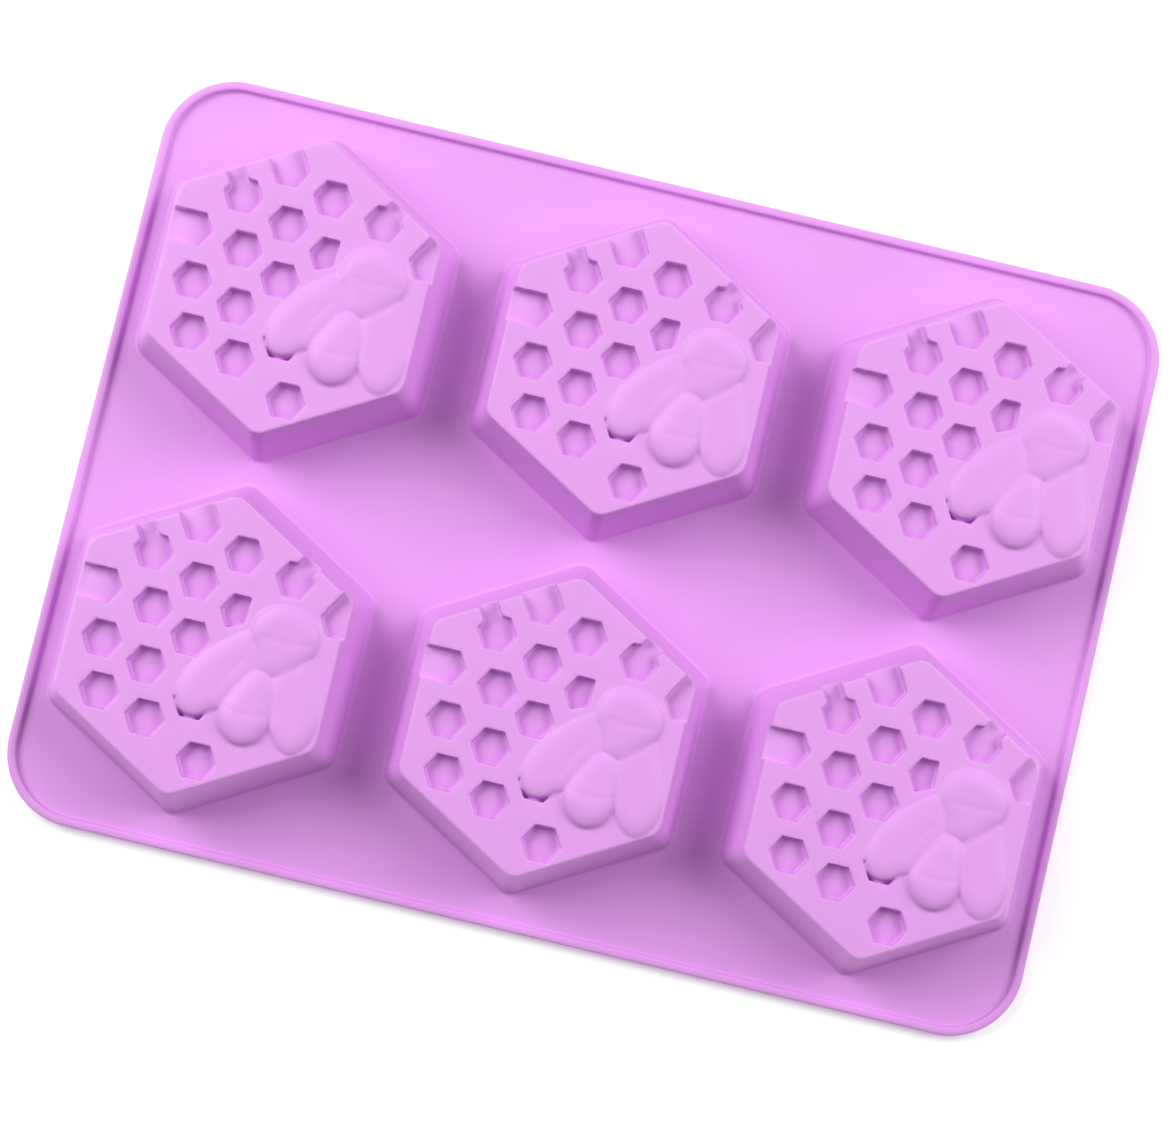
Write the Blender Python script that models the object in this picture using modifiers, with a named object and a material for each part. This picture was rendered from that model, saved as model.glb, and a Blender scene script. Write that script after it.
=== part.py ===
"""A six-cavity soap mould in soft silicone, lying with its casting face down.

A flat deck with a raised bead round it carries two rows of three hexagonal cups.
Each cup is closed by a honeycomb end wall with a bee in relief. The deck folds along
two lines between the columns of cups, and each end wall presses into its cup.
Metres, +Z up; the origin is on the casting face, at the middle of the tray.
"""

import math

import bmesh
import bpy

# Tray
TRAY_LENGTH = 0.270
TRAY_WIDTH = 0.201
TRAY_CORNER_RADIUS = 0.0195
DECK_THICKNESS = 0.002
BEAD_WIDTH = 0.0026
BEAD_HEIGHT = 0.004
BEAD_ROUNDING = 0.0007
FLEX_WIDTH = 0.010

# Cups
COLUMN_PITCH = 0.0897
ROW_PITCH = 0.0943
BLOCK_HEIGHT = 0.0222
WALL = 0.002
END_APOTHEM = 0.034
END_CORNER_RADIUS = 0.0044
DRAFT = math.radians(12.5)
FOOT_FILLET = 0.0008
EDGE_ROUNDING = 0.0006

# Honeycomb and bee on each end wall
CELL_APOTHEM = 0.0045
CELL_FLOOR_APOTHEM = 0.0033
CELL_DEPTH = 0.003
BOSS_INSET = 0.0001
BODY_RELIEF = 0.003
WING_RELIEF = 0.0022

GAP = 0.0003
OVERRUN = 0.002
WELD_DISTANCE = 1e-6

# How finely curves are divided
CORNER_STEPS = 3
QUARTER_STEPS = 8
FILLET_STEPS = 2
BEAD_SEGMENTS = 2
SPLINE_STEPS = 3

# The sharpest turns that are rounded over, and that are shaded as smooth
BEAD_EDGE_ANGLE = math.radians(40)
SMOOTH_ANGLE = math.radians(35)

HEXAGON = 6
POINT_UP = math.radians(30)

# Where the cells are centred, from the middle of the end wall
CELL_CENTRES = [
    (-0.0182, 0.0206),
    (-0.0081, 0.0300),
    (0.0044, 0.0248),
    (0.0186, 0.0216),
    (0.0322, 0.0141),
    (-0.0287, 0.0094),
    (-0.0150, 0.0068),
    (-0.0052, 0.0158),
    (0.0069, 0.0103),
    (-0.0256, -0.0040),
    (-0.0130, -0.0080),
    (-0.0038, 0.0013),
    (-0.0231, -0.0170),
    (-0.0102, -0.0210),
    (0.0007, -0.0141),
    (0.0051, -0.0288),
]

# The bee's outlines, anticlockwise, from the middle of the end wall
BEE_BODY = [
    (0.0137, -0.0224),
    (0.0194, -0.0196),
    (0.0210, -0.0150),
    (0.0206, -0.0085),
    (0.0205, -0.0030),
    (0.0262, 0.0012),
    (0.0281, 0.0062),
    (0.0266, 0.0112),
    (0.0228, 0.0141),
    (0.0182, 0.0148),
    (0.0135, 0.0130),
    (0.0105, 0.0080),
    (0.0115, 0.0025),
    (0.0148, -0.0030),
    (0.0110, -0.0085),
    (0.0074, -0.0150),
    (0.0088, -0.0200),
]
LEFT_WING = [
    (0.0110, 0.0045),
    (0.0025, -0.0009),
    (-0.0024, -0.0062),
    (-0.0041, -0.0115),
    (-0.0031, -0.0158),
    (0.0004, -0.0182),
    (0.0042, -0.0170),
    (0.0080, -0.0140),
    (0.0112, -0.0080),
    (0.0150, -0.0020),
]
RIGHT_WING = [
    (0.0198, -0.0020),
    (0.0204, -0.0105),
    (0.0214, -0.0160),
    (0.0236, -0.0196),
    (0.0263, -0.0208),
    (0.0290, -0.0190),
    (0.0310, -0.0142),
    (0.0309, -0.0080),
    (0.0294, -0.0029),
    (0.0262, 0.0022),
]

ROUGHNESS = 0.55
SILICONE = (0.80, 0.42, 0.86, 1.0)
RIM_SILICONE = (0.84, 0.48, 0.89, 1.0)
RELIEF_SILICONE = (0.76, 0.38, 0.83, 1.0)


# Scene and materials


def clear_scene():
    for obj in list(bpy.data.objects):
        bpy.data.objects.remove(obj, do_unlink=True)


def new_collection(name):
    collection = bpy.data.collections.new(name)
    bpy.context.scene.collection.children.link(collection)
    return collection


def silicone(name, colour):
    material = bpy.data.materials.new(name)
    material.use_nodes = True
    shader = material.node_tree.nodes["Principled BSDF"]
    shader.inputs["Base Color"].default_value = colour
    shader.inputs["Roughness"].default_value = ROUGHNESS
    shader.inputs["Metallic"].default_value = 0.0
    return material


def add_object(name, data, collection):
    obj = bpy.data.objects.new(name, data)
    collection.objects.link(obj)
    return obj


def hide(obj):
    obj.hide_render = True
    obj.display_type = "WIRE"
    return obj


def place(obj, parent, location=(0, 0, 0)):
    """Hangs the object from its parent empty; location is measured from that empty."""
    obj.parent = parent
    obj.location = location


# Outlines


def rounded_hexagon(apothem, corner_radius, turn=0.0):
    """A hexagon with its first side facing +X, its corners rounded, anticlockwise."""
    points = []
    centre_distance = (apothem - corner_radius) / math.cos(math.pi / HEXAGON)
    for corner in range(HEXAGON):
        middle = turn + POINT_UP + corner * math.tau / HEXAGON
        for step in range(CORNER_STEPS + 1):
            angle = middle + (step / CORNER_STEPS - 0.5) * math.tau / HEXAGON
            x = centre_distance * math.cos(middle) + corner_radius * math.cos(angle)
            y = centre_distance * math.sin(middle) + corner_radius * math.sin(angle)
            points.append((x, y))
    return points


def quarter(centre, radius, start):
    """Points along a quarter circle, anticlockwise from the start angle."""
    angles = [start + step / QUARTER_STEPS * math.pi / 2 for step in range(QUARTER_STEPS + 1)]
    return [(centre[0] + radius * math.cos(a), centre[1] + radius * math.sin(a)) for a in angles]


def end_outline(inset, cut_x):
    """The tray's outline left of x = cut_x, open at the cut, anticlockwise from top to bottom."""
    radius = TRAY_CORNER_RADIUS - inset
    centre_x = -TRAY_LENGTH / 2 + TRAY_CORNER_RADIUS
    centre_y = TRAY_WIDTH / 2 - TRAY_CORNER_RADIUS
    top = quarter((centre_x, centre_y), radius, math.pi / 2)
    bottom = quarter((centre_x, -centre_y), radius, math.pi)
    edge_y = TRAY_WIDTH / 2 - inset
    return [(cut_x, edge_y)] + top + bottom + [(cut_x, -edge_y)]


def shifted(points, dx=0.0, dy=0.0):
    return [(x + dx, y + dy) for x, y in points]


# Solids


def flat_solid(name, outlines, bottom, top, collection, spread=0.0, smooth=False):
    """A plate between two heights. The outlines after the first one are holes in it."""
    curve = bpy.data.curves.new(name + "_outline", "CURVE")
    curve.dimensions = "2D"
    curve.fill_mode = "BOTH"
    curve.extrude = (top - bottom) / 2
    curve.offset = spread
    curve.resolution_u = SPLINE_STEPS
    for outline in outlines:
        if smooth:
            add_smooth_spline(curve, outline)
        else:
            add_straight_spline(curve, outline)
    return solid_from_curve(name, curve, (0, 0, (top + bottom) / 2), collection)


def add_straight_spline(curve, outline):
    spline = curve.splines.new("POLY")
    spline.points.add(len(outline) - 1)
    for point, (x, y) in zip(spline.points, outline):
        point.co = (x, y, 0, 1)
    spline.use_cyclic_u = True


def add_smooth_spline(curve, outline):
    spline = curve.splines.new("BEZIER")
    spline.bezier_points.add(len(outline) - 1)
    for point, (x, y) in zip(spline.bezier_points, outline):
        point.co = (x, y, 0)
        point.handle_left_type = "AUTO"
        point.handle_right_type = "AUTO"
    spline.use_cyclic_u = True


def solid_from_curve(name, curve, location, collection):
    """The closed mesh of a filled curve, with its caps welded to its sides."""
    guide = add_object(name + "_guide", curve, collection)
    guide.location = location
    bpy.context.view_layer.update()
    mesh = evaluated_mesh(guide, name)
    mesh.transform(guide.matrix_world)
    bpy.data.objects.remove(guide, do_unlink=True)
    weld(mesh)
    return add_object(name, mesh, collection)


def evaluated_mesh(obj, name):
    graph = bpy.context.evaluated_depsgraph_get()
    mesh = bpy.data.meshes.new_from_object(obj.evaluated_get(graph))
    mesh.name = name
    return mesh


def weld(mesh):
    work = bmesh.new()
    work.from_mesh(mesh)
    bmesh.ops.remove_doubles(work, verts=work.verts, dist=WELD_DISTANCE)
    bmesh.ops.recalc_face_normals(work, faces=work.faces)
    work.to_mesh(mesh)
    work.free()


def ring_solid(name, rings, collection):
    """A closed band through rings of points that match one to one, the last joined to the first."""
    count = len(rings[0])
    points = [point for ring in rings for point in ring]
    faces = []
    for level in range(len(rings)):
        above = (level + 1) % len(rings)
        for i in range(count):
            j = (i + 1) % count
            faces.append((level * count + i, level * count + j, above * count + j, above * count + i))
    mesh = bpy.data.meshes.new(name)
    mesh.from_pydata(points, [], faces)
    weld(mesh)
    return add_object(name, mesh, collection)


def boolean(obj, other, operation):
    modifier = obj.modifiers.new(operation.lower(), "BOOLEAN")
    modifier.operation = operation
    modifier.solver = "EXACT"
    modifier.object = other


def baked(obj):
    """The object's mesh with its modifiers applied, to be shared by its copies."""
    bpy.context.view_layer.update()
    return evaluated_mesh(obj, obj.name + "_shape")


# Tray


def cup_centres():
    """Back row first, each row from left to right."""
    return [(column * COLUMN_PITCH, row * ROW_PITCH / 2) for row in (1, -1) for column in (-1, 0, 1)]


def cup_mouth():
    """The opening in the casting face under one cup."""
    apothem, corner_radius = inner_size(0.0)
    return rounded_hexagon(apothem, corner_radius)


def deck_holes(column):
    return [shifted(cup_mouth(), x, y) for x, y in cup_centres() if abs(x - column * COLUMN_PITCH) < GAP]


def hinge_x():
    return COLUMN_PITCH / 2


def panel_edge():
    """How far from the middle the centre panel ends."""
    return hinge_x() - FLEX_WIDTH / 2 - GAP / 2


def mirrored(points, side):
    """The points as they are for the left side, turned half way round for the right."""
    return points if side < 0 else [(-x, -y) for x, y in points]


def end_deck(name, side, collection):
    cut_x = -(hinge_x() + FLEX_WIDTH / 2 + GAP / 2)
    outline = mirrored(end_outline(BEAD_WIDTH + GAP, cut_x), side)
    return flat_solid(name, [outline] + deck_holes(side), 0, DECK_THICKNESS, collection)


def end_rim(name, side, collection):
    cut_x = -(hinge_x() + FLEX_WIDTH / 2 + GAP / 2)
    outer = end_outline(0, cut_x)
    inner = end_outline(BEAD_WIDTH, cut_x)
    outline = mirrored(outer + inner[::-1], side)
    return softened(flat_solid(name, [outline], 0, BEAD_HEIGHT, collection))


def box_outline(half_x, low_y, high_y):
    return [(-half_x, low_y), (half_x, low_y), (half_x, high_y), (-half_x, high_y)]


def centre_deck(name, collection):
    half_y = TRAY_WIDTH / 2 - BEAD_WIDTH - GAP
    outline = box_outline(panel_edge(), -half_y, half_y)
    return flat_solid(name, [outline] + deck_holes(0), 0, DECK_THICKNESS, collection)


def bead_bar(name, half_x, side, collection):
    outer_y = TRAY_WIDTH / 2
    low_y, high_y = sorted((side * outer_y, side * (outer_y - BEAD_WIDTH)))
    return flat_solid(name, [box_outline(half_x, low_y, high_y)], 0, BEAD_HEIGHT, collection)


def softened(obj):
    """Rounds the bead's long edges."""
    modifier = obj.modifiers.new("rounding", "BEVEL")
    modifier.width = BEAD_ROUNDING
    modifier.segments = BEAD_SEGMENTS
    modifier.limit_method = "ANGLE"
    modifier.angle_limit = BEAD_EDGE_ANGLE
    return obj


def flex_web(name, collection, helpers):
    """The strip of deck and bead that bends between two columns of cups."""
    half_x = FLEX_WIDTH / 2 - GAP / 2
    half_y = TRAY_WIDTH / 2
    web = flat_solid(name, [box_outline(half_x, -half_y, half_y)], 0, DECK_THICKNESS, collection)
    for side in (-1, 1):
        bar = bead_bar(f"{name}_bar_{side}", half_x, side, helpers)
        bar.parent = web
        boolean(web, hide(bar), "UNION")
    return web


# Cups


def outer_size(height):
    """Apothem and corner radius of a cup's outside at a height."""
    spread = (BLOCK_HEIGHT - height) * math.tan(DRAFT)
    return END_APOTHEM + spread, END_CORNER_RADIUS


def inner_size(height):
    apothem, corner_radius = outer_size(height)
    return apothem - WALL, corner_radius - WALL


def outside_profile():
    """(spread beyond the drafted wall, height) from the foot fillet up to the rounded top edge."""
    foot = DECK_THICKNESS + GAP
    angles = [step / FILLET_STEPS * math.pi / 2 for step in range(FILLET_STEPS + 1)]
    profile = []
    for angle in angles:
        reach = FOOT_FILLET * (1 - math.sin(angle))
        profile.append((reach, foot + FOOT_FILLET * (1 - math.cos(angle))))
    for angle in angles:
        inset = EDGE_ROUNDING * (1 - math.cos(angle))
        profile.append((-inset, BLOCK_HEIGHT - EDGE_ROUNDING * (1 - math.sin(angle))))
    return profile


def hexagon_ring(size, spread, height):
    apothem, corner_radius = size
    return [(x, y, height) for x, y in rounded_hexagon(apothem + spread, corner_radius + spread)]


def cavity_wall(name, collection):
    """The drafted ring between the deck and the end wall."""
    rings = [hexagon_ring(outer_size(z), spread, z) for spread, z in outside_profile()]
    rim_z = BLOCK_HEIGHT - WALL
    rings.append(hexagon_ring(inner_size(rim_z), 0, BLOCK_HEIGHT))
    rings.append(hexagon_ring(inner_size(rim_z), 0, rim_z))
    rings.append(hexagon_ring(inner_size(DECK_THICKNESS), 0, DECK_THICKNESS + GAP))
    return ring_solid(name, rings, collection)


# End walls


def end_plate_outline(inset=0.0):
    apothem, corner_radius = inner_size(BLOCK_HEIGHT - WALL)
    return rounded_hexagon(apothem - GAP - inset, corner_radius - GAP - inset)


def tapered_cell(name, centre, low, high, low_apothem, high_apothem, collection):
    """A six-sided cell that narrows downwards, with its points to the left and right."""
    corner = 1 / math.cos(math.pi / HEXAGON)
    bpy.ops.mesh.primitive_cone_add(
        vertices=HEXAGON,
        radius1=low_apothem * corner,
        radius2=high_apothem * corner,
        depth=high - low,
        location=(centre[0], centre[1], (low + high) / 2),
        rotation=(0, 0, POINT_UP),
    )
    cell = bpy.context.object
    cell.name = name
    for owner in list(cell.users_collection):
        owner.objects.unlink(cell)
    collection.objects.link(cell)
    return hide(cell)


def honeycomb_end(name, helpers):
    """The plate with its cells: each is a recess outside and a boss of the same wall inside."""
    plate_low = BLOCK_HEIGHT - WALL
    plate = hide(flat_solid(name, [end_plate_outline()], plate_low, BLOCK_HEIGHT, helpers))
    well_low = plate_low - CELL_DEPTH
    outline = end_plate_outline(BOSS_INSET)
    bosses = hide(flat_solid(name + "_bosses", [outline], well_low, plate_low + WALL / 2, helpers))
    stencil = cell_group(name + "_boss", well_low - OVERRUN, WALL, helpers)
    boolean(bosses, stencil, "INTERSECT")
    boolean(plate, bosses, "UNION")
    boolean(plate, cell_group(name + "_well", well_low + WALL, 0.0, helpers), "DIFFERENCE")
    boolean(plate, hide(bee_stencil(name + "_bee", helpers)), "DIFFERENCE")
    return plate


def cell_group(name, low, spread, helpers):
    """Every cell as one tapered solid each, joined in one object."""
    high = BLOCK_HEIGHT + OVERRUN
    slope = (CELL_APOTHEM - CELL_FLOOR_APOTHEM) / CELL_DEPTH
    top = CELL_APOTHEM + spread + slope * OVERRUN
    base = top - slope * (high - low)
    cells = []
    for number, centre in enumerate(CELL_CENTRES):
        cells.append(tapered_cell(f"{name}_{number}", centre, low, high, base, top, helpers))
    first = cells[0]
    for other in cells[1:]:
        boolean(first, other, "UNION")
    return first


# Bees


def bee_solid(name, low, body_high, wing_high, spread, collection):
    """The bee's body and both wings as one solid, its outline moved out by spread."""
    body = flat_solid(name, [BEE_BODY], low, body_high, collection, spread, smooth=True)
    for wing_name, outline in (("left_wing", LEFT_WING), ("right_wing", RIGHT_WING)):
        wing = flat_solid(f"{name}_{wing_name}", [outline], low, wing_high, collection, spread, smooth=True)
        boolean(body, hide(wing), "UNION")
    return hide(body)


def bee_stencil(name, helpers):
    """Cuts the bee's opening in the end plate, a wall's width inside the bee's outline."""
    low = BLOCK_HEIGHT - WALL - CELL_DEPTH - OVERRUN
    high = BLOCK_HEIGHT + OVERRUN
    return bee_solid(name, low, high, high - GAP, -WALL, helpers)


def bee_relief(name, helpers):
    """The raised bee that closes the bee's opening in the end plate."""
    low = BLOCK_HEIGHT + GAP
    return bee_solid(name, low, BLOCK_HEIGHT + BODY_RELIEF, BLOCK_HEIGHT + WING_RELIEF, 0.0, helpers)


# Assembly


def shade(obj):
    obj.data.shade_smooth()
    obj.data.set_sharp_from_angle(angle=SMOOTH_ANGLE)


def finish_piece(obj, material, parent, location):
    obj.data.materials.clear()
    obj.data.materials.append(material)
    shade(obj)
    place(obj, parent, location)


def empty_at(name, location, collection):
    empty = bpy.data.objects.new(name, None)
    empty.location = location
    empty.empty_display_size = 0.01
    collection.objects.link(empty)
    return empty


def build_tray(mould, helpers, hinges, silicones):
    """The three deck panels, their lengths of bead, and the two strips that bend."""
    deck_material, rim_material = silicones
    for side, label in ((-1, "left"), (1, "right")):
        hinge = hinges[side]
        back = tuple(-value for value in hinge.location)
        finish_piece(end_deck(f"{label}_deck", side, mould), deck_material, hinge, back)
        finish_piece(end_rim(f"{label}_rim_bead", side, mould), rim_material, hinge, back)
        web = flex_web(f"{label}_flex_web", mould, helpers)
        finish_piece(web, deck_material, hinges[0], (side * hinge_x(), 0, 0))
    finish_piece(centre_deck("centre_deck", mould), deck_material, hinges[0], (0, 0, 0))
    for side, label in ((-1, "front"), (1, "back")):
        bar = bead_bar(f"centre_rim_bead_{label}", panel_edge(), side, mould)
        finish_piece(softened(bar), rim_material, hinges[0], (0, 0, 0))


def build_cups(mould, helpers, hinges, silicones):
    """Six cups: a wall on its panel, and an end wall with its bee on a slide of its own."""
    deck_material, relief_material = silicones
    end_shape = baked(honeycomb_end("honeycomb_master", helpers))
    bee_shape = baked(bee_relief("bee_master", helpers))
    for number, (x, y) in enumerate(cup_centres(), start=1):
        hinge = hinges[round(x / COLUMN_PITCH)]
        local = (x - hinge.location.x, y, -hinge.location.z)
        wall = cavity_wall(f"cavity_wall_{number}", mould)
        finish_piece(wall, deck_material, hinge, local)
        slide = empty_at(f"end_wall_{number}_slide", local, mould)
        slide.parent = hinge
        end = add_object(f"honeycomb_end_{number}", end_shape, mould)
        finish_piece(end, deck_material, slide, (0, 0, 0))
        bee = add_object(f"bee_relief_{number}", bee_shape, mould)
        finish_piece(bee, relief_material, slide, (0, 0, 0))


def build_mould():
    clear_scene()
    mould = new_collection("silicone_soap_mould")
    helpers = new_collection("cutters")
    deck_material = silicone("mould_silicone", SILICONE)
    rim_material = silicone("rim_silicone", RIM_SILICONE)
    relief_material = silicone("relief_silicone", RELIEF_SILICONE)
    fold_height = DECK_THICKNESS / 2
    hinges = {
        -1: empty_at("left_fold", (-hinge_x(), 0, fold_height), mould),
        0: empty_at("centre", (0, 0, 0), mould),
        1: empty_at("right_fold", (hinge_x(), 0, fold_height), mould),
    }
    build_tray(mould, helpers, hinges, (deck_material, rim_material))
    build_cups(mould, helpers, hinges, (deck_material, relief_material))


build_mould()
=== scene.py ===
"""The looks of a six-cavity silicone soap mould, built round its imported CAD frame."""

import math

import bmesh
import bpy
import numpy as np
from mathutils import Matrix, Quaternion, Vector
from mathutils.geometry import delaunay_2d_cdt


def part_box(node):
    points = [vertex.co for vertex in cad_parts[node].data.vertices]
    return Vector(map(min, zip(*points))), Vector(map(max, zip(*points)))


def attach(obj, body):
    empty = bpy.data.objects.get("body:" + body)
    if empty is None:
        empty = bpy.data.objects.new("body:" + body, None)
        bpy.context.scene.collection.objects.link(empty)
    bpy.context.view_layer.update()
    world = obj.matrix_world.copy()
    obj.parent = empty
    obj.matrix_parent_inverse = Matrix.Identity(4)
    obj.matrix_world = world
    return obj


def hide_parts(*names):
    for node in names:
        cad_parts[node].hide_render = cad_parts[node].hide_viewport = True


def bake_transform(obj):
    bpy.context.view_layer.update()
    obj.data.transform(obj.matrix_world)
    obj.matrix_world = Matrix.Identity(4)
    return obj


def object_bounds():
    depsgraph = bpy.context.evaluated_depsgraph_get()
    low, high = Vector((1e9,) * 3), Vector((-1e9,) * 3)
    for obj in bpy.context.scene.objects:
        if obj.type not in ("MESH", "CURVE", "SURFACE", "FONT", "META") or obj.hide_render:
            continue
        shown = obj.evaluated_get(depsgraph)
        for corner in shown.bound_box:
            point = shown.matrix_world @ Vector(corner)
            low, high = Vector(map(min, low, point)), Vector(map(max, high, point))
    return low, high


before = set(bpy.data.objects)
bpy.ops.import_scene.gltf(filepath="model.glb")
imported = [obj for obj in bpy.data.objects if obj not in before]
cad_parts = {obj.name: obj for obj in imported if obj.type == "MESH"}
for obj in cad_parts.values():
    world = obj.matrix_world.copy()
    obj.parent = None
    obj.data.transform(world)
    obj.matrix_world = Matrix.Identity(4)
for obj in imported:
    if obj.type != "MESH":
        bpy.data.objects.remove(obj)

MM = 0.001
CAD_LOW, CAD_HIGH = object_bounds()

# Sizes that the frame gives
TRAY_HALF = (CAD_HIGH.x, CAD_HIGH.y)
DECK_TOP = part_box("centre_deck")[1].z
BLOCK_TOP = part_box("cavity_wall_1")[1].z
RELIEF_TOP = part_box("bee_relief_1")[1].z
FLEX_OUTER_X = -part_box("left_flex_web")[0].x
FLEX_INNER_X = -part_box("left_flex_web")[1].x

# Sizes of the moulding
WALL = 2.0 * MM
CELL_WALL = 1.4 * MM
TRAY_CORNER_RADIUS = 19.5 * MM
END_APOTHEM = 34.0 * MM
END_CORNER_RADIUS = 4.4 * MM
DRAFT = math.tan(math.radians(12.5))
FOOT_FILLET = 0.6 * MM
EDGE_ROUNDING = 0.4 * MM
MOUTH_ROUNDING = 0.5 * MM
INNER_FILLET = 0.5 * MM
APRON_APOTHEM = 39.55 * MM
SEAM_X = FLEX_INNER_X - 0.1 * MM

# The panels that carry the cups, left to right
PANELS = ("left_panel", "centre_panel", "right_panel")

# How finely the surfaces are divided
NET_STEP = 0.4 * MM
NET_MARGIN = 1.2 * MM
STEPS_BELOW = 2.5
FACES_KEPT = 0.3
SETTLE_ROUNDS = 3
SLOPE_REACH = 0.02 * MM
LEAST_SLOPE = 0.25
BEE_STEP = 0.2 * MM
LOOP_STEPS = 6
CORNER_STEPS = 20
FLEX_STRIPS = 12
WELD_DISTANCE = 1e-6
CUT_TOLERANCE = 1e-7
SHARP_ANGLE = math.radians(60)

# The rim's cross-section in mm: (inset, height)
# It runs from the flat deck over the bead and round to the casting face
RIM_PROFILE = [
    (4.6, 2.0),
    (3.2, 2.0),
    (2.86, 2.02),
    (2.64, 2.10),
    (2.50, 2.26),
    (2.43, 2.50),
    (2.34, 3.00),
    (2.24, 3.28),
    (2.04, 3.47),
    (1.74, 3.57),
    (1.40, 3.60),
    (0.95, 3.60),
    (0.60, 3.56),
    (0.30, 3.43),
    (0.10, 3.20),
    (0.0, 2.90),
    (0.0, 2.0),
    (0.0, 0.40),
    (0.12, 0.12),
    (0.40, 0.0),
    (1.20, 0.0),
]

# Honeycomb cells
CELL_APOTHEM = 4.5 * MM
CELL_CORNER_RADIUS = 0.45 * MM
CELL_DEPTH = 2.8 * MM
CELL_DRAFT = 0.05
CELL_DOME = 16.0
DOME_FALL = 0.4 * MM
CELL_FLOOR_ROUNDING = 0.5 * MM
CELL_LIP = 0.25 * MM
CELL_REACH = 9.5 * MM
CELL_CUT_ROUNDING = 0.6 * MM
CHANNEL_FILLET = 0.4 * MM
PATTERN_SHIFT = (0.45 * MM, -0.2 * MM)
CELL_CENTRES = {
    "A1": (-18.2, 20.6),
    "A2": (-8.1, 30.0),
    "A3": (4.4, 24.8),
    "A4": (18.6, 21.6),
    "A5": (32.2, 14.1),
    "B1": (-28.7, 9.4),
    "B2": (-15.0, 6.8),
    "B3": (-5.2, 15.8),
    "B4": (6.9, 10.3),
    "C1": (-25.6, -4.0),
    "C2": (-13.0, -8.0),
    "C3": (-3.8, 1.3),
    "D1": (-23.1, -17.0),
    "D2": (-10.2, -21.0),
    "D3": (0.7, -14.1),
    "E1": (5.1, -28.8),
}
# Channels that open a cell at the block's edge: (cell, direction in degrees, width in mm)
CELL_CHANNELS = [
    ("A1", 120, 5.0),
    ("A2", 120, 9.0),
    ("A4", 60, 5.2),
    ("A5", 60, 9.0),
    ("A5", 0, 9.0),
    ("B1", 180, 8.6),
]
# Straight cuts that keep part of a cell closed: (cell, direction in degrees, distance in mm)
CELL_CUTS = [
    ("B4", 0, 2.1),
    ("B4", -66, 3.0),
]

# The bee's outlines in mm from the block's centre
HEAD_OUTLINE = [
    (10.7, 7.4),
    (12.0, 11.3),
    (14.9, 13.8),
    (18.3, 14.6),
    (22.0, 14.1),
    (25.4, 12.4),
    (27.5, 10.2),
    (28.3, 7.6),
    (27.9, 4.8),
    (26.6, 2.2),
    (23.8, -0.6),
    (20.6, -3.3),
    (17.2, -3.8),
    (14.6, -2.7),
    (13.4, 0.4),
    (12.2, 3.4),
    (11.0, 5.3),
]
ABDOMEN_OUTLINE = [
    (15.8, -2.6),
    (18.4, -3.6),
    (19.9, -6.5),
    (20.5, -10.0),
    (20.9, -13.8),
    (20.6, -17.0),
    (18.8, -20.4),
    (15.6, -22.2),
    (12.4, -22.0),
    (9.2, -19.8),
    (7.5, -16.6),
    (7.6, -13.4),
    (8.9, -10.0),
    (10.8, -6.6),
    (12.9, -3.6),
]
LEFT_WING_OUTLINE = [
    (11.0, 6.2),
    (6.2, 3.4),
    (2.2, -0.2),
    (-1.2, -4.2),
    (-3.3, -8.5),
    (-4.0, -12.3),
    (-3.2, -15.4),
    (-1.4, -17.2),
    (0.9, -17.7),
    (3.2, -17.0),
    (5.2, -15.5),
    (7.8, -14.0),
    (11.0, -10.0),
    (14.5, -4.0),
    (14.5, 1.5),
]
RIGHT_WING_OUTLINE = [
    (26.9, 3.0),
    (28.8, -1.4),
    (30.5, -5.5),
    (31.8, -9.5),
    (32.4, -13.0),
    (31.7, -17.0),
    (29.7, -20.2),
    (27.2, -21.6),
    (24.4, -20.6),
    (22.3, -18.4),
    (20.6, -15.5),
    (19.2, -10.0),
    (18.6, -6.0),
    (19.6, -2.0),
    (23.4, 1.0),
]
VEIN_LINE = [(10.4, -1.4), (7.4, -5.8), (5.9, -10.6)]

# The bee's heights over the end face in mm: wings and abdomen rise towards the tail, the head away from it
LEFT_WING_HEIGHT, LEFT_WING_RISE, LEFT_WING_SHOULDER = 0.8, 0.7, 4.2
RIGHT_WING_HEIGHT, RIGHT_WING_RISE, RIGHT_WING_SHOULDER = 0.8, 0.5, 4.0
ABDOMEN_HEIGHT, ABDOMEN_RISE, ABDOMEN_SHOULDER = 1.3, 1.1, 4.6
HEAD_HEIGHT, HEAD_SLOPE, HEAD_SHOULDER = 1.35, 0.02, 4.6
HEAD_START = -4
RISE_START, RISE_LENGTH = 3, 20
OUTSIDE_FALL = 4

# Grooves in the bee in mm: (where, depth) across the abdomen, then (depth, width) of the others
ABDOMEN_STRIPES = [(-18.3, 0.03), (-14.4, 0.09), (-10.2, 0.03)]
STRIPE_MIDDLE, STRIPE_BEND, STRIPE_WIDTH = 14.2, 0.03, 0.7
LEFT_VEIN = (0.10, 0.8)
RIGHT_VEIN_X, RIGHT_VEIN = 24.4, (0.05, 0.8)
CREASE_Y, CREASE_MIDDLE, CREASE_BEND, CREASE = 5.3, 20, 0.02, (0.10, 1.0)

# How far the parts of the bee run into each other, and the bee into the end face
WINGS_BLEND, ABDOMEN_BLEND, HEAD_BLEND = 0.5, 0.7, 0.6
BEE_FOOT_FILLET = 0.7 * MM
# The part of the end face that holds the bee: its middle and half its size
BEE_MIDDLE = (14 * MM, -3 * MM)
BEE_HALF = (22 * MM, 24 * MM)
# Half the side of the bee's table of heights
BEE_REACH = APRON_APOTHEM * 1.3


# Distances: negative inside, in metres


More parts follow.
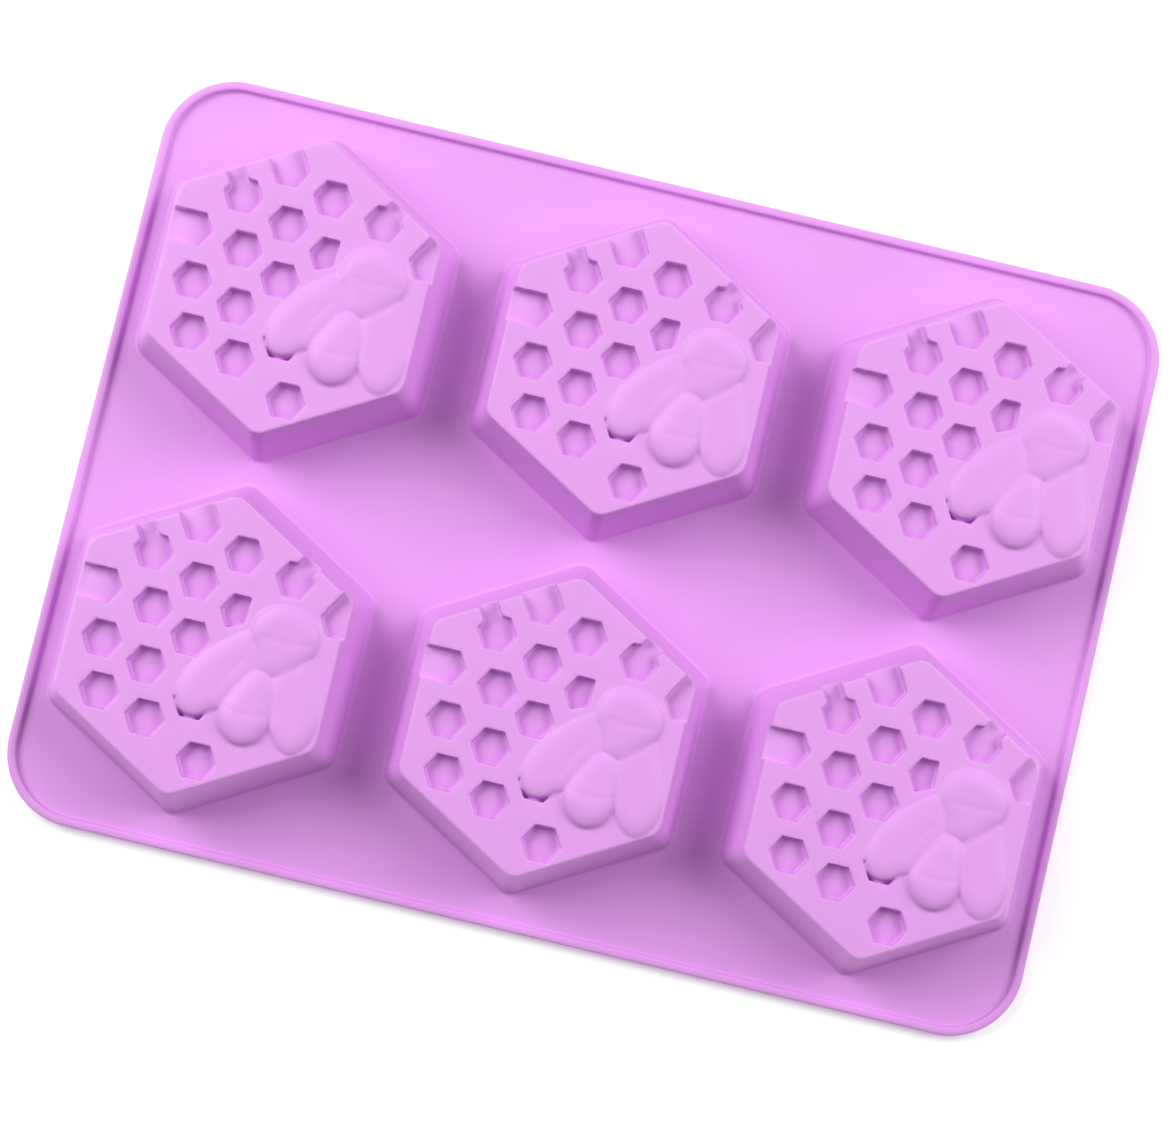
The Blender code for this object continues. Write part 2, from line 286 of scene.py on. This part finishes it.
def hexagon(x, y, apothem):
    """Distance to a regular hexagon with sides facing up and down."""
    half, cosine, slope = 0.5, math.sqrt(3) / 2, math.tan(math.pi / 6)
    x, y = np.abs(x), np.abs(y)
    fold = 2 * np.minimum(half * y - cosine * x, 0)
    x, y = x + cosine * fold, y - half * fold
    x = x - np.clip(x, -slope * apothem, slope * apothem)
    y = y - apothem
    return np.hypot(x, y) * np.sign(y)


def round_meet(a, b, radius):
    """Where two solids overlap, the edge between them rounded."""
    outside = np.hypot(np.maximum(a + radius, 0), np.maximum(b + radius, 0))
    return np.minimum(-radius, np.maximum(a, b)) + outside


def round_join(a, b, radius):
    """Two solids as one, with a fillet between them."""
    return -round_meet(-a, -b, radius)


def channel(x, y, direction, width):
    """Distance to a straight channel that starts at the origin and runs out without end."""
    cosine, sine = math.cos(direction), math.sin(direction)
    along = x * cosine + y * sine
    across = np.abs(y * cosine - x * sine) - width / 2
    return np.maximum(across, -along)


def cell(name, x, y, z):
    """Distance to the hollow of one honeycomb cell, for points measured from its centre."""
    taper = CELL_DRAFT * (BLOCK_TOP - z)
    side = hexagon(x, y, CELL_APOTHEM - CELL_CORNER_RADIUS - taper) - CELL_CORNER_RADIUS
    for owner, degrees, distance in CELL_CUTS:
        if owner == name:
            angle = math.radians(degrees)
            plane = x * math.cos(angle) + y * math.sin(angle) - distance * MM + taper
            side = round_meet(side, plane, CELL_CUT_ROUNDING)
    for owner, degrees, width in CELL_CHANNELS:
        if owner == name:
            opened = channel(x, y, math.radians(degrees), width * MM - 2 * taper)
            side = round_join(side, opened, CHANNEL_FILLET)
    dome = np.minimum(CELL_DOME * (x * x + y * y), DOME_FALL)
    floor = BLOCK_TOP - CELL_DEPTH - dome - z
    return round_meet(side, floor, CELL_FLOOR_ROUNDING)


# The bee


def smooth_loop(points):
    """A closed curve through the points."""
    points = np.array(points)
    before, after, beyond = (np.roll(points, shift, 0) for shift in (1, -1, -2))
    loop = []
    for t in np.arange(LOOP_STEPS) / LOOP_STEPS:
        curve = 2 * points + (after - before) * t
        curve = curve + (2 * before - 5 * points + 4 * after - beyond) * t**2
        curve = curve + (3 * points - before - 3 * after + beyond) * t**3
        loop.append(curve / 2)
    return np.stack(loop, 1).reshape(-1, 2)


def loop_depth(loop, x, y):
    """How deep each point lies inside a closed loop: negative outside."""
    nearest = np.full(x.shape, np.inf)
    inside = np.zeros(x.shape, bool)
    for (ax, ay), (bx, by) in zip(loop, np.roll(loop, -1, 0)):
        run_x, run_y = bx - ax, by - ay
        along = ((x - ax) * run_x + (y - ay) * run_y) / (run_x**2 + run_y**2)
        along = np.clip(along, 0, 1)
        nearest = np.minimum(nearest, np.hypot(x - ax - along * run_x, y - ay - along * run_y))
        crosses = (y < ay) != (y < by)
        inside ^= crosses & (x < ax + run_x * (y - ay) / np.where(crosses, run_y, 1))
    return np.where(inside, nearest, -nearest)


def mound(depth, height, width):
    """A height that rises steeply from an outline and levels out at the given width, in mm."""
    share = np.clip(depth / width, 0, 1)
    return np.where(depth > 0, height * np.sqrt(1 - (1 - share) ** 2), OUTSIDE_FALL * depth)


def soft_max(a, b, width):
    """The larger of two heights, with the crease between them filled a little."""
    blend = np.maximum(width - np.abs(a - b), 0) / width
    return np.maximum(a, b) + blend**2 * width / 4


def groove(distance, depth, width):
    """How much a soft-edged groove takes off a height."""
    return depth * np.exp(-((distance / width) ** 2))


def wings(x, y, rise):
    """Both wings, each with one shallow vein."""
    vein = -loop_depth(np.array(VEIN_LINE + VEIN_LINE[1:2]), x, y)
    left = loop_depth(smooth_loop(LEFT_WING_OUTLINE), x, y)
    left_height = LEFT_WING_HEIGHT + LEFT_WING_RISE * rise - groove(vein, *LEFT_VEIN)
    left = mound(left, left_height, LEFT_WING_SHOULDER)
    right = loop_depth(smooth_loop(RIGHT_WING_OUTLINE), x, y)
    right_height = RIGHT_WING_HEIGHT + RIGHT_WING_RISE * rise - groove(x - RIGHT_VEIN_X, *RIGHT_VEIN)
    right = mound(right, right_height, RIGHT_WING_SHOULDER)
    return soft_max(left, right, WINGS_BLEND)


def abdomen(x, y, rise):
    """The tapering abdomen with grooves across it."""
    bend = STRIPE_BEND * (x - STRIPE_MIDDLE) ** 2
    stripes = sum(groove(y - at - bend, depth, STRIPE_WIDTH) for at, depth in ABDOMEN_STRIPES)
    inside = loop_depth(smooth_loop(ABDOMEN_OUTLINE), x, y)
    return mound(inside, ABDOMEN_HEIGHT + ABDOMEN_RISE * rise - stripes, ABDOMEN_SHOULDER)


def head(x, y):
    """The head and thorax as one swelling, with a crease between them."""
    crease = groove(y - CREASE_Y - CREASE_BEND * (x - CREASE_MIDDLE) ** 2, *CREASE)
    inside = loop_depth(smooth_loop(HEAD_OUTLINE), x, y)
    return mound(inside, HEAD_HEIGHT + HEAD_SLOPE * (y - HEAD_START) - crease, HEAD_SHOULDER)


def bee_table():
    """The bee's height over the end face in mm, on a square grid over the block."""
    count = int(BEE_REACH / BEE_STEP)
    line = np.arange(-count, count + 1) * BEE_STEP / MM
    x, y = np.meshgrid(line, line, indexing="ij")
    rise = np.clip((RISE_START - y) / RISE_LENGTH, 0, 1)
    height = soft_max(wings(x, y, rise), abdomen(x, y, rise), ABDOMEN_BLEND)
    return soft_max(height, head(x, y), HEAD_BLEND) * MM


BEE = bee_table()
BEE_RISE = np.hypot(*np.gradient(BEE, BEE_STEP))
BEE_SLOPE = 1 / np.sqrt(1 + BEE_RISE**2)


def read_table(table, x, y):
    """The table's value at each point, from the four entries round it."""
    u = x / BEE_STEP + (len(table) - 1) / 2
    v = y / BEE_STEP + (len(table) - 1) / 2
    i, j = u.astype(int), v.astype(int)
    u, v = u - i, v - j
    low = table[i, j] * (1 - u) + table[i + 1, j] * u
    high = table[i, j + 1] * (1 - u) + table[i + 1, j + 1] * u
    return low * (1 - v) + high * v


# The cup


def cup_field(x, y, z):
    """Distance to the silicone of one cup and of the deck round it."""
    spread = (BLOCK_TOP - z) * DRAFT
    side = hexagon(y, x, END_APOTHEM + spread - END_CORNER_RADIUS) - END_CORNER_RADIUS
    side = side / math.hypot(1, DRAFT)
    outside = round_meet(side, z - BLOCK_TOP, EDGE_ROUNDING)
    inside = round_meet(side + WALL, z - BLOCK_TOP + WALL, EDGE_ROUNDING)
    high = z > BLOCK_TOP - CELL_DEPTH - DOME_FALL - 3 * WALL
    x, y = x - PATTERN_SHIFT[0], y - PATTERN_SHIFT[1]
    raised = high & (np.abs(x - BEE_MIDDLE[0]) < BEE_HALF[0]) & (np.abs(y - BEE_MIDDLE[1]) < BEE_HALF[1])
    bee = z[raised] - BLOCK_TOP - read_table(BEE, x[raised], y[raised])
    bee = bee * read_table(BEE_SLOPE, x[raised], y[raised])
    inside[raised] = round_join(inside[raised], bee + WALL, INNER_FILLET)
    for name, (centre_x, centre_y) in CELL_CENTRES.items():
        dx, dy = x - centre_x * MM, y - centre_y * MM
        near = high & (np.abs(dx) < CELL_REACH) & (np.abs(dy) < CELL_REACH)
        hollow = cell(name, dx[near], dy[near], z[near])
        outside[near] = round_meet(outside[near], -hollow, CELL_LIP)
        inside[near] = round_meet(inside[near], CELL_WALL - hollow, INNER_FILLET)
    outside[raised] = round_join(outside[raised], bee, BEE_FOOT_FILLET)
    outside = round_join(outside, z - DECK_TOP, FOOT_FILLET)
    flare = np.maximum(MOUTH_ROUNDING - z, 0)
    inside = inside - MOUTH_ROUNDING + np.sqrt(np.maximum(MOUTH_ROUNDING**2 - flare**2, 0))
    return np.maximum(np.maximum(outside, -inside), -z)


def surface_net(field, origin, step):
    """Points and quads of a field's zero surface, with one point in each cell that it crosses."""
    cells = np.array(field.shape) - 1
    strides = np.array([cells[1] * cells[2], cells[2], 1])
    sums = np.zeros((int(cells.prod()), 3))
    counts = np.zeros(int(cells.prod()))
    quads = []
    for axis in range(3):
        first = np.moveaxis(np.moveaxis(field, axis, 0)[:-1], 0, axis)
        second = np.moveaxis(np.moveaxis(field, axis, 0)[1:], 0, axis)
        at = np.argwhere((first < 0) != (second < 0))
        a, b = first[tuple(at.T)], second[tuple(at.T)]
        crossing = at.astype(float)
        crossing[:, axis] += a / (a - b)
        across, along = [k for k in range(3) if k != axis]
        corners = []
        whole = np.ones(len(at), bool)
        for shift_across, shift_along in ((0, 0), (1, 0), (1, 1), (0, 1)):
            near = at.copy()
            near[:, across] -= shift_across
            near[:, along] -= shift_along
            fits = ((near >= 0) & (near < cells)).all(1)
            whole &= fits
            index = near @ strides
            for k in range(3):
                sums[:, k] += np.bincount(index[fits], crossing[fits, k], len(sums))
            counts += np.bincount(index[fits], minlength=len(counts))
            corners.append(index)
        quad = np.stack(corners, 1)[whole]
        flip = (a < 0)[whole] == (axis == 1)
        quad[flip] = quad[flip][:, ::-1]
        quads.append(quad)
    used, quads = np.unique(np.concatenate(quads), return_inverse=True)
    points = sums[used] / counts[used, None] * step + np.array(origin)
    return points, quads.reshape(-1, 4)


def settled(points):
    """The points moved onto the cup's true surface."""
    for _ in range(SETTLE_ROUNDS):
        value = cup_field(*points.T)
        ahead = [cup_field(*(points + SLOPE_REACH * axis).T) for axis in np.eye(3)]
        slope = np.stack([there - value for there in ahead], 1) / SLOPE_REACH
        size = np.maximum((slope**2).sum(1), LEAST_SLOPE)
        move = -(value / size)[:, None] * slope
        points = points + np.clip(move, -NET_STEP / 4, NET_STEP / 4)
    return points


def add_object(name, mesh):
    obj = bpy.data.objects.new(name, mesh)
    bpy.context.scene.collection.objects.link(obj)
    return obj


def everything(work):
    return work.verts[:] + work.edges[:] + work.faces[:]


def cut(work, point, normal, clear=True):
    """Splits a mesh along a plane and, if asked, drops what lies in front of it."""
    bmesh.ops.bisect_plane(
        work,
        geom=everything(work),
        plane_co=point,
        plane_no=normal,
        clear_outer=clear,
        dist=CUT_TOLERANCE,
    )


def cup_net():
    """Points and quads of the cup's surface, reaching a little past its apron."""
    half_x = APRON_APOTHEM + NET_MARGIN
    half_y = APRON_APOTHEM / math.cos(math.pi / 6) + NET_MARGIN
    xs = np.arange(-half_x, half_x, NET_STEP)
    ys = np.arange(-half_y, half_y, NET_STEP)
    zs = np.arange(-STEPS_BELOW * NET_STEP, RELIEF_TOP + NET_MARGIN, NET_STEP)
    grid = np.meshgrid(xs, ys, zs, indexing="ij")
    field = cup_field(*(axis.ravel() for axis in grid)).reshape(grid[0].shape)
    points, quads = surface_net(field, (xs[0], ys[0], zs[0]), NET_STEP)
    return settled(points), quads


def cup_mesh():
    """One cup with a hexagonal apron of deck round its foot, centred on the origin."""
    points, quads = cup_net()
    mesh = bpy.data.meshes.new("cup")
    mesh.from_pydata(points.tolist(), [], quads.tolist())
    work = bmesh.new()
    work.from_mesh(mesh)
    for side in range(6):
        angle = side * math.tau / 6
        normal = Vector((math.cos(angle), math.sin(angle), 0))
        cut(work, normal * APRON_APOTHEM, normal)
    bmesh.ops.bridge_loops(work, edges=[edge for edge in work.edges if edge.is_boundary])
    bmesh.ops.recalc_face_normals(work, faces=work.faces)
    work.to_mesh(mesh)
    work.free()
    return thinned(mesh)


def thinned(mesh):
    """The mesh with fewer triangles where it is flat."""
    obj = add_object("thinned", mesh)
    modifier = obj.modifiers.new("thin", "DECIMATE")
    modifier.ratio = FACES_KEPT
    graph = bpy.context.evaluated_depsgraph_get()
    result = bpy.data.meshes.new_from_object(obj.evaluated_get(graph))
    bpy.data.objects.remove(obj)
    return result


# The tray


def cup_centre(number):
    low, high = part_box(f"cavity_wall_{number}")
    return (low.x + high.x) / 2, (low.y + high.y) / 2


def rim_loop(inset):
    """Points round the tray's outline at a distance inside it, anticlockwise."""
    loop = []
    for corner in range(4):
        start = corner * math.pi / 2
        x = (TRAY_HALF[0] - TRAY_CORNER_RADIUS) * (1 if corner in (0, 3) else -1)
        y = (TRAY_HALF[1] - TRAY_CORNER_RADIUS) * (1 if corner in (0, 1) else -1)
        for step in range(CORNER_STEPS + 1):
            angle = start + step / CORNER_STEPS * math.pi / 2
            reach = TRAY_CORNER_RADIUS - inset
            loop.append((x + reach * math.cos(angle), y + reach * math.sin(angle)))
    return loop


def apron_loop(number):
    """The corners of the hexagonal hole that a cup's apron fills."""
    centre_x, centre_y = cup_centre(number)
    reach = APRON_APOTHEM / math.cos(math.pi / 6)
    corners = [math.tau * (corner + 0.5) / 6 for corner in range(6)]
    return [(centre_x + reach * math.cos(a), centre_y + reach * math.sin(a)) for a in corners]


def in_apron(x, y):
    for number in range(1, 7):
        centre_x, centre_y = cup_centre(number)
        if hexagon(np.array(y - centre_y), np.array(x - centre_x), APRON_APOTHEM) < 0:
            return True
    return False


def add_sheet(work, outline, height, faces_up):
    """Fills the outline with triangles at a height, leaving out the six apron holes."""
    loops = [outline] + [apron_loop(number) for number in range(1, 7)]
    points, edges = [], []
    for loop in loops:
        first = len(points)
        points += [Vector(point) for point in loop]
        edges += [(first + i, first + (i + 1) % len(loop)) for i in range(len(loop))]
    points, _, triangles, *_ = delaunay_2d_cdt(points, edges, [], 1, CUT_TOLERANCE)
    verts = [work.verts.new((point.x, point.y, height)) for point in points]
    for triangle in triangles:
        centre = sum((points[i] for i in triangle), Vector((0, 0))) / 3
        if not in_apron(centre.x, centre.y):
            corners = [verts[i] for i in triangle]
            work.faces.new(corners if faces_up else corners[::-1])
    for vert in [vert for vert in verts if not vert.link_faces]:
        work.verts.remove(vert)


def add_band(work, low, high):
    """Quads between two rings of points that match one to one."""
    low = [work.verts.new(point) for point in low]
    high = [work.verts.new(point) for point in high]
    for i in range(len(low)):
        j = (i + 1) % len(low)
        work.faces.new((low[i], low[j], high[j], high[i]))


def at_height(loop, height):
    return [(x, y, height) for x, y in loop]


def whole_tray():
    """The deck and its raised rim as one closed sheet with six holes, ready to be cut into panels."""
    work = bmesh.new()
    rings = [at_height(rim_loop(inset * MM), height * MM) for inset, height in RIM_PROFILE]
    for low, high in zip(rings[1:], rings):
        add_band(work, low, high)
    add_sheet(work, rim_loop(RIM_PROFILE[0][0] * MM), DECK_TOP, True)
    add_sheet(work, rim_loop(RIM_PROFILE[-1][0] * MM), 0, False)
    for number in range(1, 7):
        loop = apron_loop(number)[::-1]
        add_band(work, at_height(loop, 0), at_height(loop, DECK_TOP))
    bmesh.ops.remove_doubles(work, verts=work.verts, dist=WELD_DISTANCE)
    for step in range(FLEX_STRIPS + 1):
        x = FLEX_INNER_X + (FLEX_OUTER_X - FLEX_INNER_X) * step / FLEX_STRIPS
        for side in (-1, 1):
            cut(work, Vector((side * x, 0, 0)), Vector((1, 0, 0)), clear=False)
    return work


def tray_panel(name, whole, cuts):
    """One panel of the tray: what is left of it behind each cut, closed again."""
    work = whole.copy()
    for x, side in cuts:
        cut(work, Vector((x, 0, 0)), Vector((side, 0, 0)))
    bmesh.ops.holes_fill(work, edges=[edge for edge in work.edges if edge.is_boundary], sides=0)
    mesh = bpy.data.meshes.new(name)
    work.to_mesh(mesh)
    work.free()
    return add_object(name, mesh)


# Looks

DARK_TINT = (0.715, 0.325, 0.775, 1)
PALE_TINT = (0.745, 0.345, 0.805, 1)
# The colour sockets of a Mix node
MIX_A, MIX_B, MIX_RESULT = 6, 7, 2


def node(tree, kind, inputs=None, **settings):
    """A shader node with its settings and its unlinked inputs set."""
    made = tree.nodes.new(kind)
    for key, value in settings.items():
        setattr(made, key, value)
    for key, value in (inputs or {}).items():
        made.inputs[key].default_value = value
    return made


def silicone_material():
    """Satin orchid-pink silicone: faint mottling, a soft waviness and a fine moulded grain."""
    material = bpy.data.materials.new("orchid_silicone")
    material.use_nodes = True
    tree = material.node_tree
    shader = tree.nodes["Principled BSDF"]
    shader.inputs["Roughness"].default_value = 0.5
    shader.inputs["Specular IOR Level"].default_value = 0.35
    where = node(tree, "ShaderNodeTexCoord")
    cloud = node(tree, "ShaderNodeTexNoise", {"Scale": 45.0, "Detail": 3.0})
    tint = node(tree, "ShaderNodeMix", {MIX_A: DARK_TINT, MIX_B: PALE_TINT}, data_type="RGBA")
    grain = node(tree, "ShaderNodeTexNoise", {"Scale": 1600.0, "Detail": 2.0})
    wave = node(tree, "ShaderNodeTexNoise", {"Scale": 90.0, "Detail": 2.0})
    grain_bump = node(tree, "ShaderNodeBump", {"Strength": 0.12, "Distance": 0.1 * MM})
    wave_bump = node(tree, "ShaderNodeBump", {"Strength": 0.25, "Distance": 0.4 * MM})
    satin = node(tree, "ShaderNodeMapRange", {"To Min": 0.42, "To Max": 0.58})
    link = tree.links.new
    for noise in (cloud, grain, wave):
        link(where.outputs["Object"], noise.inputs["Vector"])
    link(cloud.outputs[0], tint.inputs[0])
    link(tint.outputs[MIX_RESULT], shader.inputs["Base Color"])
    link(cloud.outputs[0], satin.inputs["Value"])
    link(satin.outputs[0], shader.inputs["Roughness"])
    link(grain.outputs[0], grain_bump.inputs["Height"])
    link(wave.outputs[0], wave_bump.inputs["Height"])
    link(wave_bump.outputs[0], grain_bump.inputs["Normal"])
    link(grain_bump.outputs[0], shader.inputs["Normal"])
    return material


def finish(obj, material):
    """Smooth shading with crisp corners and flats that stay flat."""
    obj.data.materials.append(material)
    obj.data.shade_smooth()
    obj.data.set_sharp_from_angle(angle=SHARP_ANGLE)
    modifier = obj.modifiers.new("flats", "WEIGHTED_NORMAL")
    modifier.keep_sharp = True


silicone = silicone_material()

whole = whole_tray()
tray_left = tray_panel("tray_left", whole, [(-SEAM_X, 1)])
tray_centre = tray_panel("tray_centre", whole, [(SEAM_X, 1), (-SEAM_X, -1)])
tray_right = tray_panel("tray_right", whole, [(SEAM_X, -1)])
whole.free()
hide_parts("left_deck", "left_rim_bead", "left_flex_web")
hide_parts("right_deck", "right_rim_bead", "right_flex_web")
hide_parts("centre_deck", "centre_rim_bead_front", "centre_rim_bead_back")
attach(tray_centre, "centre_panel")
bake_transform(tray_left)
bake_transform(tray_right)
for panel in (tray_left, tray_centre, tray_right):
    finish(panel, silicone)

cup_shape = cup_mesh()
for number in range(1, 7):
    x, y = cup_centre(number)
    mesh = cup_shape.copy()
    mesh.transform(Matrix.Translation((x, y, 0)))
    cup = add_object(f"cup_{number}", mesh)
    panel = PANELS[(number - 1) % 3]
    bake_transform(cup)
    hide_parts(f"cavity_wall_{number}", f"honeycomb_end_{number}", f"bee_relief_{number}")
    finish(cup, silicone)


# Camera, floor and light

SENSOR_WIDTH = 36
LENS = 86.15
# The camera's turn as an axis times an angle, from world axes to the camera's right, down and forward
CAMERA_TURN = (3.0396, 0.3579, 0.0103)
CAMERA_PLACE = (0.0023, -0.0642, 0.7321)
SOFTBOX_SIZE = 1.1
SOFTBOX_DISTANCE = 1.4
FLOOR_SIZE = 8.0
FLOOR_COLOUR = (0.92, 0.92, 0.92, 1)
FLOOR_GLOW = 0.26
SKY_STRENGTH = 0.22
WHITE = (1, 1, 1, 1)


def add_camera():
    """A long lens nearly straight above the tray, turned so that the tray lies at a slant."""
    data = bpy.data.cameras.new("camera")
    data.sensor_width = SENSOR_WIDTH
    data.lens = LENS
    camera = bpy.data.objects.new("camera", data)
    bpy.context.scene.collection.objects.link(camera)
    turn = Vector(CAMERA_TURN)
    rows = Quaternion(turn.normalized(), turn.length).to_matrix()
    facing = Matrix((rows[0], -rows[1], -rows[2])).transposed().to_4x4()
    camera.matrix_world = Matrix.Translation(CAMERA_PLACE) @ facing
    bpy.context.scene.camera = camera


def add_softbox(name, azimuth, elevation, energy):
    """A round soft light that faces the tray from a direction given in degrees."""
    data = bpy.data.lights.new(name, "AREA")
    data.shape = "DISK"
    data.size = SOFTBOX_SIZE
    data.energy = energy
    softbox = bpy.data.objects.new(name, data)
    bpy.context.scene.collection.objects.link(softbox)
    azimuth, elevation = math.radians(azimuth), math.radians(elevation)
    level = math.cos(elevation)
    facing = Vector((level * math.cos(azimuth), level * math.sin(azimuth), math.sin(elevation)))
    softbox.location = facing * SOFTBOX_DISTANCE
    softbox.rotation_euler = (-facing).to_track_quat("-Z", "Y").to_euler()
    softbox.visible_camera = False


def add_floor():
    half = FLOOR_SIZE / 2
    corners = [(-half, -half, 0), (half, -half, 0), (half, half, 0), (-half, half, 0)]
    mesh = bpy.data.meshes.new("floor")
    mesh.from_pydata(corners, [], [(0, 1, 2, 3)])
    floor = add_object("floor", mesh)
    material = bpy.data.materials.new("pale_floor")
    material.use_nodes = True
    shader = material.node_tree.nodes["Principled BSDF"]
    shader.inputs["Base Color"].default_value = FLOOR_COLOUR
    shader.inputs["Roughness"].default_value = 0.9
    shader.inputs["Emission Color"].default_value = WHITE
    shader.inputs["Emission Strength"].default_value = FLOOR_GLOW
    mesh.materials.append(material)


def add_world():
    world = bpy.data.worlds.new("studio")
    world.use_nodes = True
    background = world.node_tree.nodes["Background"]
    background.inputs["Color"].default_value = WHITE
    background.inputs["Strength"].default_value = SKY_STRENGTH
    bpy.context.scene.world = world


add_camera()
add_floor()
add_softbox("softbox_left", azimuth=158, elevation=40, energy=16.8)
add_softbox("softbox_right", azimuth=30, elevation=40, energy=13.6)
add_world()
bpy.context.scene.view_settings.view_transform = "Standard"
